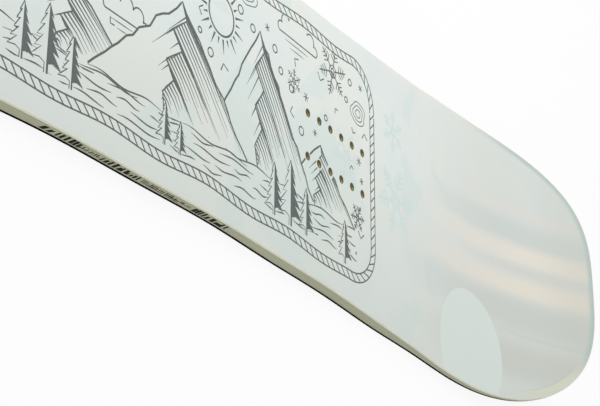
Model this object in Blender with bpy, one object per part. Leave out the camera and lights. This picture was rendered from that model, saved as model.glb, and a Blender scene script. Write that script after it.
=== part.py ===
# A twin-tip snowboard deck, built up in layers as a sandwich: base sheet and steel edges,
# damping foils, glass laminates, a strip-built wood core between plastic sidewalls and tip
# spacers, threaded inserts for the bindings, and a topsheet.
#
# +X points to the tip, +Y to the left side, +Z up. The origin is on the ground, below the
# middle of the board. All lengths are in metres.

from math import atan, cos, hypot, pi, radians, sin

import bmesh
import bpy
from mathutils import Matrix, Vector

# Outline, seen from above
LENGTH = 1.520
WAIST = 0.2455
SIDECUT_RADIUS = 5.7
EFFECTIVE_EDGE = 0.960
EDGE_WAVE_HEIGHT = 0.0004
EDGE_WAVE_PITCH = 0.180
TIP_POWER_LENGTHWISE = 3.9
TIP_POWER_ACROSS = 3.2

# Side view of the deck: a long arch between the two kicks
ARCH_LENGTH = 0.920
ARCH_HEIGHT = 0.004
TIP_RISE = 0.0636
KICK_POWER = 2.86

# The side: a planed face from the steel edge up, then a flatter bevel across the top layers
SIDE_SLOPE = 0.27
BEVEL_WIDTH = 0.0013

# Layers, from the snow up
BASE_THICKNESS = 0.0012
EDGE_WIDTH = 0.0022
ANCHOR_THICKNESS = 0.0005
ANCHOR_REACH = 0.0065
FOIL_THICKNESS = 0.0002
FOIL_SETBACK = 0.0005
BOTTOM_LAMINATE_THICKNESS = 0.0005
TOP_LAMINATE_THICKNESS = 0.0005
TOPSHEET_THICKNESS = 0.0004
GLUE_LINE = 0.00015
SIDE_CLEARANCE = 0.0003

# Thickness of the core along the board: thickest at the seats of the bindings
WAIST_CORE_THICKNESS = 0.0054
SEAT_CORE_THICKNESS = 0.0068
CONTACT_CORE_THICKNESS = 0.0029
TIP_CORE_THICKNESS = 0.0010
WAIST_FLAT_LENGTH = 0.180
SEAT_LENGTH = 0.120
TAPER_LENGTH = 0.200
TIP_FLAT_LENGTH = 0.060

# Core, seen from above
TIP_SPACER_LENGTH = 0.120
SIDEWALL_WIDTH = 0.009
STRIP_WIDTH = 0.029
STRIPS_PER_SIDE = 4

# Inserts for the bindings
STANCE = 0.560
INSERT_PITCH = 0.020
INSERT_ROW_SPACING = 0.040
INSERTS_PER_ROW = 6
INSERT_BARREL_DIAMETER = 0.010
INSERT_BORE_DIAMETER = 0.005
INSERT_FLOOR = 0.0012
FLANGE_DIAMETER = 0.016
FLANGE_THICKNESS = 0.0010
SOCKET_CLEARANCE = 0.0003
DRILLED_HOLE_DIAMETER = 0.0078

# How finely curves are cut into straight stretches
INSERT_PITCHES_PER_STRETCH = 1.5
SHORTEST_STRETCH = 0.010
TIP_STEPS = 22
TIP_STEP_CROWDING = 1.6
ROUND_SIDES = 12
SOCKET_SIDES = 8
SHARP_ANGLE = radians(30)

# Small amounts that the arithmetic needs
CUTTER_OVERSHOOT = 0.002
MERGE_DISTANCE = 1e-7
SLOPE_ANGLE = 0.0001
SLOPE_SHARE = 0.001

# Heights above the base's underside
EDGE_TOP = BASE_THICKNESS + GLUE_LINE + ANCHOR_THICKNESS
FOIL_BOTTOM = EDGE_TOP + GLUE_LINE
FOIL_TOP = FOIL_BOTTOM + FOIL_THICKNESS
LAMINATE_OVER_FOIL = FOIL_TOP + GLUE_LINE
LAMINATE_OVER_BASE = BASE_THICKNESS + GLUE_LINE
BOTTOM_LAMINATE_TOP = LAMINATE_OVER_FOIL + BOTTOM_LAMINATE_THICKNESS
CORE_BOTTOM = BOTTOM_LAMINATE_TOP + GLUE_LINE

HALF_LENGTH = LENGTH / 2
HALF_ARCH = ARCH_LENGTH / 2
HALF_EFFECTIVE = EFFECTIVE_EDGE / 2
HALF_CORE = HALF_LENGTH - TIP_SPACER_LENGTH
TAPER_END = HALF_LENGTH - TIP_FLAT_LENGTH
CORE_PROFILE = (
    (WAIST_FLAT_LENGTH / 2, WAIST_CORE_THICKNESS),
    (STANCE / 2 - SEAT_LENGTH / 2, SEAT_CORE_THICKNESS),
    (STANCE / 2 + SEAT_LENGTH / 2, SEAT_CORE_THICKNESS),
    (TAPER_END - TAPER_LENGTH, CONTACT_CORE_THICKNESS),
    (TAPER_END, TIP_CORE_THICKNESS),
)


def clear_scene():
    for item in list(bpy.data.objects):
        bpy.data.objects.remove(item, do_unlink=True)


def make_material(name, colour, roughness, metallic=0.0):
    made = bpy.data.materials.new(name)
    made.use_nodes = True
    shader = made.node_tree.nodes["Principled BSDF"]
    shader.inputs["Base Color"].default_value = (*colour, 1.0)
    shader.inputs["Roughness"].default_value = roughness
    shader.inputs["Metallic"].default_value = metallic
    return made


# The curves of the board

def deck_curve(x):
    """Height of the deck over its own lowest lines: an arch between them, a kick past them."""
    along = abs(x)
    if along <= HALF_ARCH:
        return ARCH_HEIGHT * (1 - (along / HALF_ARCH) ** 2)
    return TIP_RISE * ((along - HALF_ARCH) / (HALF_LENGTH - HALF_ARCH)) ** KICK_POWER


def core_thickness(x):
    """Eased from each thickness of the core's profile to the next."""
    along = abs(x)
    last_place, thickness = CORE_PROFILE[0]
    for place, next_thickness in CORE_PROFILE[1:]:
        if along < place:
            share = max((along - last_place) / (place - last_place), 0)
            return thickness + (next_thickness - thickness) * share ** 2 * (3 - 2 * share)
        last_place, thickness = place, next_thickness
    return thickness


def core_top(x):
    return CORE_BOTTOM + core_thickness(x)


def top_laminate_bottom(x):
    return core_top(x) + GLUE_LINE


def top_laminate_top(x):
    return top_laminate_bottom(x) + TOP_LAMINATE_THICKNESS


def topsheet_bottom(x):
    return top_laminate_top(x) + GLUE_LINE


def topsheet_top(x):
    return topsheet_bottom(x) + TOPSHEET_THICKNESS


def level(height):
    """The same height above the underside all along the board."""
    return lambda x: height


def lean(x, height):
    """How far the side has come in at this height above the base's underside."""
    bevel_start = core_top(x)
    planed = SIDE_SLOPE * (min(height, bevel_start) - EDGE_TOP)
    share = max(height - bevel_start, 0) / (topsheet_top(x) - bevel_start)
    return planed + BEVEL_WIDTH * share


def sidecut_width(x):
    """Half width along the effective edge: one long arc with a shallow wave on it."""
    arc = WAIST / 2 + x * x / (2 * SIDECUT_RADIUS)
    return arc + EDGE_WAVE_HEIGHT * cos(2 * pi * x / EDGE_WAVE_PITCH)


def sidecut_slope(x):
    wave = 2 * pi / EDGE_WAVE_PITCH
    return x / SIDECUT_RADIUS - EDGE_WAVE_HEIGHT * wave * sin(wave * x)


WIDEST = sidecut_width(HALF_EFFECTIVE)
WIDEST_SLOPE = HALF_EFFECTIVE / SIDECUT_RADIUS
TIP_REACH = HALF_LENGTH - HALF_EFFECTIVE


def tip_width(share, across):
    """Half width at a share of the tip's length, where across is the round end's own share."""
    return WIDEST * across + WIDEST_SLOPE * TIP_REACH * share * (1 - share)


def tip_point(angle):
    """A point of the tip's outline, a quarter of a fat ellipse carried on from the sidecut."""
    share = sin(angle) ** (2 / TIP_POWER_LENGTHWISE)
    across = max(cos(angle), 0) ** (2 / TIP_POWER_ACROSS)
    return HALF_EFFECTIVE + TIP_REACH * share, tip_width(share, across)


def half_width(x, inset=0.0):
    """Half width at x, of the outline drawn in square to itself by inset."""
    along = abs(x)
    if along <= HALF_EFFECTIVE:
        return sidecut_width(along) - inset * hypot(1, sidecut_slope(along))
    step = TIP_REACH * SLOPE_SHARE
    widths = []
    for place in (along - step, along, along + step):
        share = (place - HALF_EFFECTIVE) / TIP_REACH
        if share <= 0:
            widths.append(sidecut_width(place))
        else:
            across = (1 - share ** TIP_POWER_LENGTHWISE) ** (1 / TIP_POWER_ACROSS)
            widths.append(tip_width(share, across))
    slope = (widths[2] - widths[0]) / (2 * step)
    return widths[1] - inset * hypot(1, slope)


def sidecut_stations():
    """Places along one half, stepped so that each hole of an insert pack lies between two."""
    step = INSERT_PITCHES_PER_STRETCH * INSERT_PITCH
    middle = STANCE / 2
    count = int(HALF_ARCH / step) + 1
    steps = [middle + step * (number + 0.5) for number in range(-count, count)]
    inside = [
        x for x in steps if SHORTEST_STRETCH / 2 < x < HALF_ARCH - SHORTEST_STRETCH
    ]
    return inside + [HALF_ARCH]


def half_outline():
    """(x, y, outward normal) down the left side of the tip half, from the middle to the tip."""
    points = []
    for x in sidecut_stations() + [HALF_EFFECTIVE]:
        slope = sidecut_slope(x)
        long = hypot(1, slope)
        points.append((x, sidecut_width(x), -slope / long, 1 / long))
    for number in range(1, TIP_STEPS):
        angle = pi / 2 * (number / TIP_STEPS) ** TIP_STEP_CROWDING
        x, y = tip_point(angle)
        ahead = tip_point(angle + SLOPE_ANGLE)
        behind = tip_point(angle - SLOPE_ANGLE)
        along = ahead[0] - behind[0]
        across = ahead[1] - behind[1]
        long = hypot(along, across)
        points.append((x, y, -across / long, along / long))
    return points + [(HALF_LENGTH, 0.0, 1.0, 0.0)]


TIP_HALF = half_outline()
TAIL_HALF = [(-x, y, -nx, ny) for x, y, nx, ny in reversed(TIP_HALF)]
OUTLINE = TAIL_HALF + TIP_HALF


def underside(x):
    """Height of the base under the deck's curve, before the board is set on the ground."""
    return deck_curve(x) - topsheet_top(x)


LOWEST = min(underside(x) for x, y, nx, ny in TIP_HALF)


def base_height(x):
    """Height of the base's underside over the ground."""
    return underside(x) - LOWEST


# Solids

def add_object(name, bm, material):
    """One object from this mesh, with its faces turned outward."""
    bmesh.ops.recalc_face_normals(bm, faces=bm.faces)
    mesh = bpy.data.meshes.new(name)
    bm.to_mesh(mesh)
    bm.free()
    mesh.shade_smooth()
    mesh.set_sharp_from_angle(angle=SHARP_ANGLE)
    made = bpy.data.objects.new(name, mesh)
    bpy.context.scene.collection.objects.link(made)
    if material:
        made.data.materials.append(material)
    return made


def loft(name, sections, material, cap_first=True, cap_last=True):
    """A solid through rings of points. An end without a cap is a ring that has no width."""
    bm = bmesh.new()
    rings = [[bm.verts.new(point) for point in section] for section in sections]
    for ring, after in zip(rings, rings[1:]):
        for number, corner in enumerate(ring):
            beside = number - 1
            bm.faces.new((corner, ring[beside], after[beside], after[number]))
    if cap_first:
        bm.faces.new(rings[0])
    if cap_last:
        bm.faces.new(rings[-1])
    if not (cap_first and cap_last):
        bmesh.ops.remove_doubles(bm, verts=bm.verts, dist=MERGE_DISTANCE)
    return add_object(name, bm, material)


def outline_corner(station, side, inset, height):
    """A corner set in from the outline at this station, at this height above the underside."""
    x, y, nx, ny = station
    inner_x = x - inset * nx
    inner_y = y - inset * ny
    return inner_x, side * inner_y, base_height(inner_x) + height


def full_sheet(name, profile, material):
    """A sheet with the board's whole outline. Profile gives (inset, height) up one side."""
    sections = []
    for station in OUTLINE:
        pairs = [(inset(station[0]), height(station[0])) for inset, height in profile]
        left = [outline_corner(station, 1, inset, height) for inset, height in pairs]
        right = [outline_corner(station, -1, inset, height) for inset, height in pairs]
        sections.append(left + right[::-1])
    return loft(name, sections, material, cap_first=False, cap_last=False)


def edge_strip(name, side, profile, material):
    """A strip round one side, from the tail's middle to the tip's, with this section."""
    stations = list(OUTLINE)
    half_gap = SIDE_CLEARANCE / 2
    stations[0] = (-HALF_LENGTH, half_gap, -1.0, 0.0)
    stations[-1] = (HALF_LENGTH, half_gap, 1.0, 0.0)
    sections = [
        [outline_corner(station, side, inset, height) for inset, height in profile]
        for station in stations
    ]
    return loft(name, sections, material)


def core_stations():
    """Places along the whole core."""
    half = [x for x, y, nx, ny in TIP_HALF if x < HALF_CORE - GLUE_LINE] + [HALF_CORE]
    return [-x for x in reversed(half)] + half


def core_bar(name, side, inner_edge, outer_edge, material):
    """A bar the thickness of the core. Each edge gives y from x and a height."""
    sections = []
    for x in core_stations():
        low = CORE_BOTTOM
        high = core_top(x)
        ground = base_height(x)
        sections.append([
            (x, side * inner_edge(x, low), ground + low),
            (x, side * outer_edge(x, low), ground + low),
            (x, side * outer_edge(x, high), ground + high),
            (x, side * inner_edge(x, high), ground + high),
        ])
    return loft(name, sections, material)


def tip_filler(name, end, material):
    """The solid plastic at the core's height, from the core's end out to the tip."""
    start = HALF_CORE + SIDE_CLEARANCE
    inner = (start, half_width(start), 0.0, 1.0)
    past = [station for station in TIP_HALF if station[0] > start + SIDEWALL_WIDTH]
    sections = []
    for station in [inner] + past:
        heights = (CORE_BOTTOM, core_top(station[0]))
        ring = []
        for side, upward in ((1, heights), (-1, heights[::-1])):
            for height in upward:
                inset = lean(station[0], height)
                x, y, z = outline_corner(station, side, inset, height)
                ring.append((end * x, y, z))
        sections.append(ring)
    return loft(name, sections, material, cap_last=False)


def turned(bm, profile, sides, place):
    """Adds a turned solid to a mesh. Profile runs (radius, height) from axis to axis."""
    rings = []
    for radius, height in profile:
        if radius == 0:
            rings.append([bm.verts.new(place @ Vector((0, 0, height)))])
            continue
        ring = []
        for number in range(sides):
            angle = 2 * pi * number / sides
            corner = Vector((radius * cos(angle), radius * sin(angle), height))
            ring.append(bm.verts.new(place @ corner))
        rings.append(ring)
    for lower, upper in zip(rings, rings[1:]):
        for number in range(sides):
            beside = (number + 1) % sides
            corners = [lower[number % len(lower)], lower[beside % len(lower)]]
            corners += [upper[beside % len(upper)], upper[number % len(upper)]]
            bm.faces.new(list(dict.fromkeys(corners)))


def cutter(name, profile, sides, places):
    """A hidden tool with one turned pin at each place."""
    bm = bmesh.new()
    for place in places:
        turned(bm, profile, sides, place)
    made = add_object(name, bm, None)
    made.hide_render = True
    made.display_type = "WIRE"
    return made


def cut(target, tool):
    modifier = target.modifiers.new("insert holes", "BOOLEAN")
    modifier.operation = "DIFFERENCE"
    modifier.solver = "EXACT"
    modifier.object = tool


# Inserts

def insert_place(x, y):
    """Where an insert's flange meets the core's underside, square to the board there."""
    slope = -2 * ARCH_HEIGHT * x / HALF_ARCH ** 2
    tilt = Matrix.Rotation(-atan(slope), 4, "Y")
    return Matrix.Translation((x, y, base_height(x) + CORE_BOTTOM)) @ tilt


def pack_places(end):
    """((side name, number), place) of the inserts of one pack, counted towards the tip."""
    places = {}
    first = end * STANCE / 2 - INSERT_PITCH * (INSERTS_PER_ROW - 1) / 2
    for side_name, side in (("left", 1), ("right", -1)):
        for number in range(INSERTS_PER_ROW):
            x = first + number * INSERT_PITCH
            places[side_name, number + 1] = insert_place(x, side * INSERT_ROW_SPACING / 2)
    return places


def insert_profile():
    flange = FLANGE_DIAMETER / 2
    barrel = INSERT_BARREL_DIAMETER / 2
    bore = INSERT_BORE_DIAMETER / 2
    return [
        (0, 0),
        (flange, 0),
        (flange, FLANGE_THICKNESS),
        (barrel, FLANGE_THICKNESS),
        (barrel, SEAT_CORE_THICKNESS),
        (bore, SEAT_CORE_THICKNESS),
        (bore, INSERT_FLOOR),
        (0, INSERT_FLOOR),
    ]


def socket_profile():
    """What is cut from the core for one insert: its shape with clearance, run out both ways.

    The socket's few flat sides stay clear of the round insert.
    """
    flat_to_corner = 1 / cos(pi / SOCKET_SIDES)
    flange = (FLANGE_DIAMETER / 2 + SOCKET_CLEARANCE) * flat_to_corner
    barrel = (INSERT_BARREL_DIAMETER / 2 + SOCKET_CLEARANCE) * flat_to_corner
    shoulder = FLANGE_THICKNESS + SOCKET_CLEARANCE
    top = SEAT_CORE_THICKNESS + CUTTER_OVERSHOOT
    return [
        (0, -CUTTER_OVERSHOOT),
        (flange, -CUTTER_OVERSHOOT),
        (flange, shoulder),
        (barrel, shoulder),
        (barrel, top),
        (0, top),
    ]


def drill_profile():
    """What is drilled from the top laminate and the topsheet above one insert."""
    drill = DRILLED_HOLE_DIAMETER / 2
    bottom = SEAT_CORE_THICKNESS - CUTTER_OVERSHOOT
    top = topsheet_top(STANCE / 2) - CORE_BOTTOM + CUTTER_OVERSHOOT
    return [(0, bottom), (drill, bottom), (drill, top), (0, top)]


def strip_edges(number):
    """Inner and outer edge of a core strip, counted from the middle line out."""
    inner = (number - 1) * STRIP_WIDTH + GLUE_LINE
    outer = number * STRIP_WIDTH - GLUE_LINE

    def inner_edge(x, height):
        return inner

    def straight_edge(x, height):
        return outer

    def curved_edge(x, height):
        return half_width(x, SIDEWALL_WIDTH + SIDE_CLEARANCE)

    return inner_edge, straight_edge if number < STRIPS_PER_SIDE else curved_edge


def sidewall_inner_edge(x, height):
    return half_width(x, SIDEWALL_WIDTH)


def sidewall_outer_edge(x, height):
    return half_width(x, lean(x, height))


clear_scene()

print_film = make_material("topsheet film", (0.80, 0.84, 0.81), 0.35)
glass = make_material("glass laminate", (0.72, 0.76, 0.66), 0.4)
poplar = make_material("poplar", (0.72, 0.56, 0.36), 0.6)
beech = make_material("beech", (0.60, 0.38, 0.22), 0.6)
sidewall_plastic = make_material("sidewall plastic", (0.40, 0.40, 0.28), 0.45)
spacer_plastic = make_material("spacer plastic", (0.62, 0.68, 0.64), 0.45)
steel = make_material("edge steel", (0.18, 0.18, 0.17), 0.35, 1.0)
rubber = make_material("damping rubber", (0.03, 0.03, 0.03), 0.8)
base_plastic = make_material("base plastic", (0.05, 0.055, 0.06), 0.4)
brass = make_material("insert metal", (0.55, 0.44, 0.20), 0.3, 1.0)

# Base, edges and foils
full_sheet(
    "base_sheet",
    [
        (level(EDGE_WIDTH + GLUE_LINE), level(0)),
        (level(EDGE_WIDTH + GLUE_LINE), level(BASE_THICKNESS)),
    ],
    base_plastic,
)
edge_section = [
    (0, 0),
    (EDGE_WIDTH, 0),
    (EDGE_WIDTH, LAMINATE_OVER_BASE),
    (ANCHOR_REACH, LAMINATE_OVER_BASE),
    (ANCHOR_REACH, EDGE_TOP),
    (0, EDGE_TOP),
]
foil_section = [
    (FOIL_SETBACK, FOIL_BOTTOM),
    (ANCHOR_REACH, FOIL_BOTTOM),
    (ANCHOR_REACH, FOIL_TOP),
    (FOIL_SETBACK, FOIL_TOP),
]
for side_name, side in (("left", 1), ("right", -1)):
    edge_strip("steel_edge_" + side_name, side, edge_section, steel)
    edge_strip("damping_foil_" + side_name, side, foil_section, rubber)

# The bottom laminate is thicker inside the edges, where its resin levels the anchors' step
full_sheet(
    "bottom_laminate",
    [
        (level(ANCHOR_REACH + SIDE_CLEARANCE), level(LAMINATE_OVER_BASE)),
        (level(ANCHOR_REACH + SIDE_CLEARANCE), level(LAMINATE_OVER_FOIL)),
        (lambda x: lean(x, LAMINATE_OVER_FOIL), level(LAMINATE_OVER_FOIL)),
        (lambda x: lean(x, BOTTOM_LAMINATE_TOP), level(BOTTOM_LAMINATE_TOP)),
    ],
    glass,
)

# Core, sidewalls and spacers
strips = {}
for side_name, side in (("left", 1), ("right", -1)):
    for number in range(1, STRIPS_PER_SIDE + 1):
        wood = beech if number % 2 else poplar
        strips[side_name, number] = core_bar(
            f"core_strip_{side_name}_{number}", side, *strip_edges(number), wood
        )
    core_bar(
        "sidewall_" + side_name,
        side,
        sidewall_inner_edge,
        sidewall_outer_edge,
        sidewall_plastic,
    )
tip_filler("tip_spacer", 1, spacer_plastic)
tip_filler("tail_spacer", -1, spacer_plastic)

# Top laminate and topsheet
top_laminate = full_sheet(
    "top_laminate",
    [
        (lambda x: lean(x, top_laminate_bottom(x)), top_laminate_bottom),
        (lambda x: lean(x, top_laminate_top(x)), top_laminate_top),
    ],
    glass,
)
topsheet = full_sheet(
    "topsheet",
    [
        (lambda x: lean(x, topsheet_bottom(x)), topsheet_bottom),
        (lambda x: lean(x, topsheet_top(x)), topsheet_top),
    ],
    print_film,
)

# Inserts, their sockets in the core and the holes drilled down to them
packs = {"front": pack_places(1), "rear": pack_places(-1)}
all_places = [place for places in packs.values() for place in places.values()]
insert_mesh = None
for pack_name, places in packs.items():
    for (side_name, number), place in places.items():
        name = f"insert_{pack_name}_{side_name}_{number}"
        if insert_mesh is None:
            bm = bmesh.new()
            turned(bm, insert_profile(), ROUND_SIDES, Matrix.Identity(4))
            insert = add_object(name, bm, brass)
            insert_mesh = insert.data
        else:
            insert = bpy.data.objects.new(name, insert_mesh)
            bpy.context.scene.collection.objects.link(insert)
        insert.matrix_world = place

sockets = cutter("socket_cutter", socket_profile(), SOCKET_SIDES, all_places)
drills = cutter("drill_cutter", drill_profile(), ROUND_SIDES, all_places)
for strip in strips.values():
    cut(strip, sockets)
cut(top_laminate, drills)
cut(topsheet, drills)
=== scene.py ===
import random
from math import atan, atan2, cos, dist, floor, hypot, pi, radians, sin

import bmesh
import bpy
from mathutils import Matrix, Vector
from mathutils.kdtree import KDTree


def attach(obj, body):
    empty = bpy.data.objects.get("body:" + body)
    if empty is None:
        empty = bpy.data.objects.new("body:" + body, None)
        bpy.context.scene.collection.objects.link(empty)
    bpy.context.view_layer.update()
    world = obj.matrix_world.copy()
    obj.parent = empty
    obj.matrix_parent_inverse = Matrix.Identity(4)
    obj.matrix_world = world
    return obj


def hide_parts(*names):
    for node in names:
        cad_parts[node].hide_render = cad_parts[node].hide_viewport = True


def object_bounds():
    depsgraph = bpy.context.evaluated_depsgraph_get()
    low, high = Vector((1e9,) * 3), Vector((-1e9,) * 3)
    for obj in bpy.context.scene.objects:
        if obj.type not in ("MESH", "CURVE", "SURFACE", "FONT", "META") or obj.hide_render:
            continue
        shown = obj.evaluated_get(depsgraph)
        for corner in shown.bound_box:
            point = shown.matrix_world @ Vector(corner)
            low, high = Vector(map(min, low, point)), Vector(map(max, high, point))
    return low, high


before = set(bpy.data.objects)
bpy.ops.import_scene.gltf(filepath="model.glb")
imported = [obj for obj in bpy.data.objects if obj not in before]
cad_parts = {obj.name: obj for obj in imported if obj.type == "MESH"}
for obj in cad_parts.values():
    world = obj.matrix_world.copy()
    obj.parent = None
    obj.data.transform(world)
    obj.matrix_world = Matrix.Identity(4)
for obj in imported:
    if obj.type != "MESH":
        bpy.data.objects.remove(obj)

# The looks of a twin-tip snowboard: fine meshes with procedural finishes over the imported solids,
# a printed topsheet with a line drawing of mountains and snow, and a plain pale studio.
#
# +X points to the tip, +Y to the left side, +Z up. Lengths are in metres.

CAD_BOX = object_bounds()

# The board's own sizes, as in the solids
LENGTH = 2 * CAD_BOX[1].x
WAIST = 0.2455
SIDECUT_RADIUS = 5.7
EFFECTIVE_EDGE = 0.960
EDGE_WAVE_HEIGHT = 0.0004
EDGE_WAVE_PITCH = 0.180
TIP_POWER_LENGTHWISE = 3.9
TIP_POWER_ACROSS = 3.2
ARCH_LENGTH = 0.920
ARCH_HEIGHT = 0.004
TIP_RISE = 0.0636
KICK_POWER = 2.86
SIDE_SLOPE = 0.27
BEVEL_WIDTH = 0.0013

BASE_THICKNESS = 0.0012
EDGE_WIDTH = 0.0022
ANCHOR_THICKNESS = 0.0005
ANCHOR_REACH = 0.0065
FOIL_THICKNESS = 0.0002
FOIL_SETBACK = 0.0005
BOTTOM_LAMINATE_THICKNESS = 0.0005
TOP_LAMINATE_THICKNESS = 0.0005
TOPSHEET_THICKNESS = 0.0004
WAIST_CORE_THICKNESS = 0.0054
SEAT_CORE_THICKNESS = 0.0068
CONTACT_CORE_THICKNESS = 0.0029
TIP_CORE_THICKNESS = 0.0010
WAIST_FLAT_LENGTH = 0.180
SEAT_LENGTH = 0.120
TAPER_LENGTH = 0.200
TIP_FLAT_LENGTH = 0.060
GLUE_LINE = 0.00015
SIDE_CLEARANCE = 0.0003
TIP_SPACER_LENGTH = 0.120
SIDEWALL_WIDTH = 0.009

STANCE = 0.560
INSERT_PITCH = 0.020
INSERT_ROW_SPACING = 0.040
INSERTS_PER_ROW = 6
INSERT_BARREL_DIAMETER = 0.010
INSERT_BORE_DIAMETER = 0.005
INSERT_FLOOR = 0.0012
FLANGE_DIAMETER = 0.016
FLANGE_THICKNESS = 0.0010
DRILLED_HOLE_DIAMETER = 0.0078

# Detail that only the looks have
SKIN = 0.00005
STRETCH = 0.005
TIP_STRETCHES = 96
TIP_CROWDING = 1.6
RIM_WIDTH = 0.0095
RIM_DROP = 0.00012
JOINT_FILL = 0.00006
SHADING_REACH = 0.020
HOLE_CHAMFER = 0.00008
FILM_ROUNDING = 0.00008
BASE_ROUNDING = 0.0001
SIDEWALL_ROUNDING = 0.00025
EDGE_ROUNDING = 0.00012
THREAD_PITCH = 0.001
THREAD_DEPTH = 0.00035
THREAD_ROWS_PER_PITCH = 8
BARREL_FLUTES = 16
FLUTE_DEPTH = 0.0003
INSERT_SIDES = 64
HOLE_SIDES = 48
DRILL_OVERSHOOT = 0.001
MERGE_DISTANCE = 1e-7
CREASE_ANGLE = radians(28)
SIDE_PER_ROUNDING = 2.2
LEAST_FLATNESS = 0.8
RIM_START = 0.01
# Up the rim: how far in from the film's edge, and the share of the drop there
RIM_SLOPE = ((0.0002, 1.0), (0.0014, 0.75), (0.0034, 0.45), (0.0062, 0.15), (RIM_WIDTH, 0.0))

# Heights above the base's underside
EDGE_TOP = BASE_THICKNESS + GLUE_LINE + ANCHOR_THICKNESS
FOIL_BOTTOM = EDGE_TOP + GLUE_LINE
FOIL_TOP = FOIL_BOTTOM + FOIL_THICKNESS
LAMINATE_OVER_FOIL = FOIL_TOP + GLUE_LINE
LAMINATE_OVER_BASE = BASE_THICKNESS + GLUE_LINE
BOTTOM_LAMINATE_TOP = LAMINATE_OVER_FOIL + BOTTOM_LAMINATE_THICKNESS
CORE_BOTTOM = BOTTOM_LAMINATE_TOP + GLUE_LINE

HALF_LENGTH = LENGTH / 2
HALF_ARCH = ARCH_LENGTH / 2
HALF_EFFECTIVE = EFFECTIVE_EDGE / 2
HALF_CORE = HALF_LENGTH - TIP_SPACER_LENGTH
TAPER_END = HALF_LENGTH - TIP_FLAT_LENGTH
CORE_PROFILE = (
    (WAIST_FLAT_LENGTH / 2, WAIST_CORE_THICKNESS),
    (STANCE / 2 - SEAT_LENGTH / 2, SEAT_CORE_THICKNESS),
    (STANCE / 2 + SEAT_LENGTH / 2, SEAT_CORE_THICKNESS),
    (TAPER_END - TAPER_LENGTH, CONTACT_CORE_THICKNESS),
    (TAPER_END, TIP_CORE_THICKNESS),
)


# The curves of the board

def deck_curve(x):
    along = abs(x)
    if along <= HALF_ARCH:
        return ARCH_HEIGHT * (1 - (along / HALF_ARCH) ** 2)
    return TIP_RISE * ((along - HALF_ARCH) / (HALF_LENGTH - HALF_ARCH)) ** KICK_POWER


def core_thickness(x):
    along = abs(x)
    last_place, thickness = CORE_PROFILE[0]
    for place, next_thickness in CORE_PROFILE[1:]:
        if along < place:
            share = max((along - last_place) / (place - last_place), 0)
            return thickness + (next_thickness - thickness) * share ** 2 * (3 - 2 * share)
        last_place, thickness = place, next_thickness
    return thickness


def core_top(x):
    return CORE_BOTTOM + core_thickness(x)


def top_laminate_bottom(x):
    return core_top(x) + GLUE_LINE


def top_laminate_top(x):
    return top_laminate_bottom(x) + TOP_LAMINATE_THICKNESS


def topsheet_bottom(x):
    return top_laminate_top(x) + GLUE_LINE


def topsheet_top(x):
    return topsheet_bottom(x) + TOPSHEET_THICKNESS


def lean(x, height):
    """How far the planed and bevelled side has come in at this height above the underside."""
    bevel_start = core_top(x)
    planed = SIDE_SLOPE * (min(height, bevel_start) - EDGE_TOP)
    share = max(height - bevel_start, 0) / (topsheet_top(x) - bevel_start)
    return planed + BEVEL_WIDTH * share


def sidecut_width(x):
    arc = WAIST / 2 + x * x / (2 * SIDECUT_RADIUS)
    return arc + EDGE_WAVE_HEIGHT * cos(2 * pi * x / EDGE_WAVE_PITCH)


def sidecut_slope(x):
    wave = 2 * pi / EDGE_WAVE_PITCH
    return x / SIDECUT_RADIUS - EDGE_WAVE_HEIGHT * wave * sin(wave * x)


WIDEST = sidecut_width(HALF_EFFECTIVE)
WIDEST_SLOPE = HALF_EFFECTIVE / SIDECUT_RADIUS
TIP_REACH = HALF_LENGTH - HALF_EFFECTIVE


def tip_width(share, across):
    return WIDEST * across + WIDEST_SLOPE * TIP_REACH * share * (1 - share)


def tip_point(angle):
    share = sin(angle) ** (2 / TIP_POWER_LENGTHWISE)
    across = max(cos(angle), 0) ** (2 / TIP_POWER_ACROSS)
    return HALF_EFFECTIVE + TIP_REACH * share, tip_width(share, across)


def half_width(x):
    along = abs(x)
    if along <= HALF_EFFECTIVE:
        return sidecut_width(along)
    share = min((along - HALF_EFFECTIVE) / TIP_REACH, 1)
    across = (1 - share ** TIP_POWER_LENGTHWISE) ** (1 / TIP_POWER_ACROSS)
    return tip_width(share, across)


def half_outline():
    """(x, y, outward normal) from the middle of the left side to the tip's end."""
    points = []
    count = round(HALF_EFFECTIVE / STRETCH)
    for number in range(count + 1):
        x = HALF_EFFECTIVE * number / count
        slope = sidecut_slope(x)
        long = hypot(1, slope)
        points.append((x, sidecut_width(x), -slope / long, 1 / long))
    nudge = 0.0001
    for number in range(1, TIP_STRETCHES):
        angle = pi / 2 * (number / TIP_STRETCHES) ** TIP_CROWDING
        x, y = tip_point(angle)
        ahead = tip_point(angle + nudge)
        behind = tip_point(angle - nudge)
        along = ahead[0] - behind[0]
        across = ahead[1] - behind[1]
        long = hypot(along, across)
        points.append((x, y, -across / long, along / long))
    return points + [(HALF_LENGTH, 0.0, 1.0, 0.0)]


TIP_HALF = half_outline()
OUTLINE = [(-x, y, -nx, ny) for x, y, nx, ny in reversed(TIP_HALF[1:])] + TIP_HALF


def underside(x):
    return deck_curve(x) - topsheet_top(x)


LOWEST = min(underside(station[0]) for station in TIP_HALF)


def base_height(x):
    return underside(x) - LOWEST


def deck_height(x):
    """Height of the deck's upper face above the ground."""
    return deck_curve(x) - LOWEST


# Meshes

def add_object(name, data):
    made = bpy.data.objects.new(name, data)
    bpy.context.scene.collection.objects.link(made)
    return made


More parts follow.
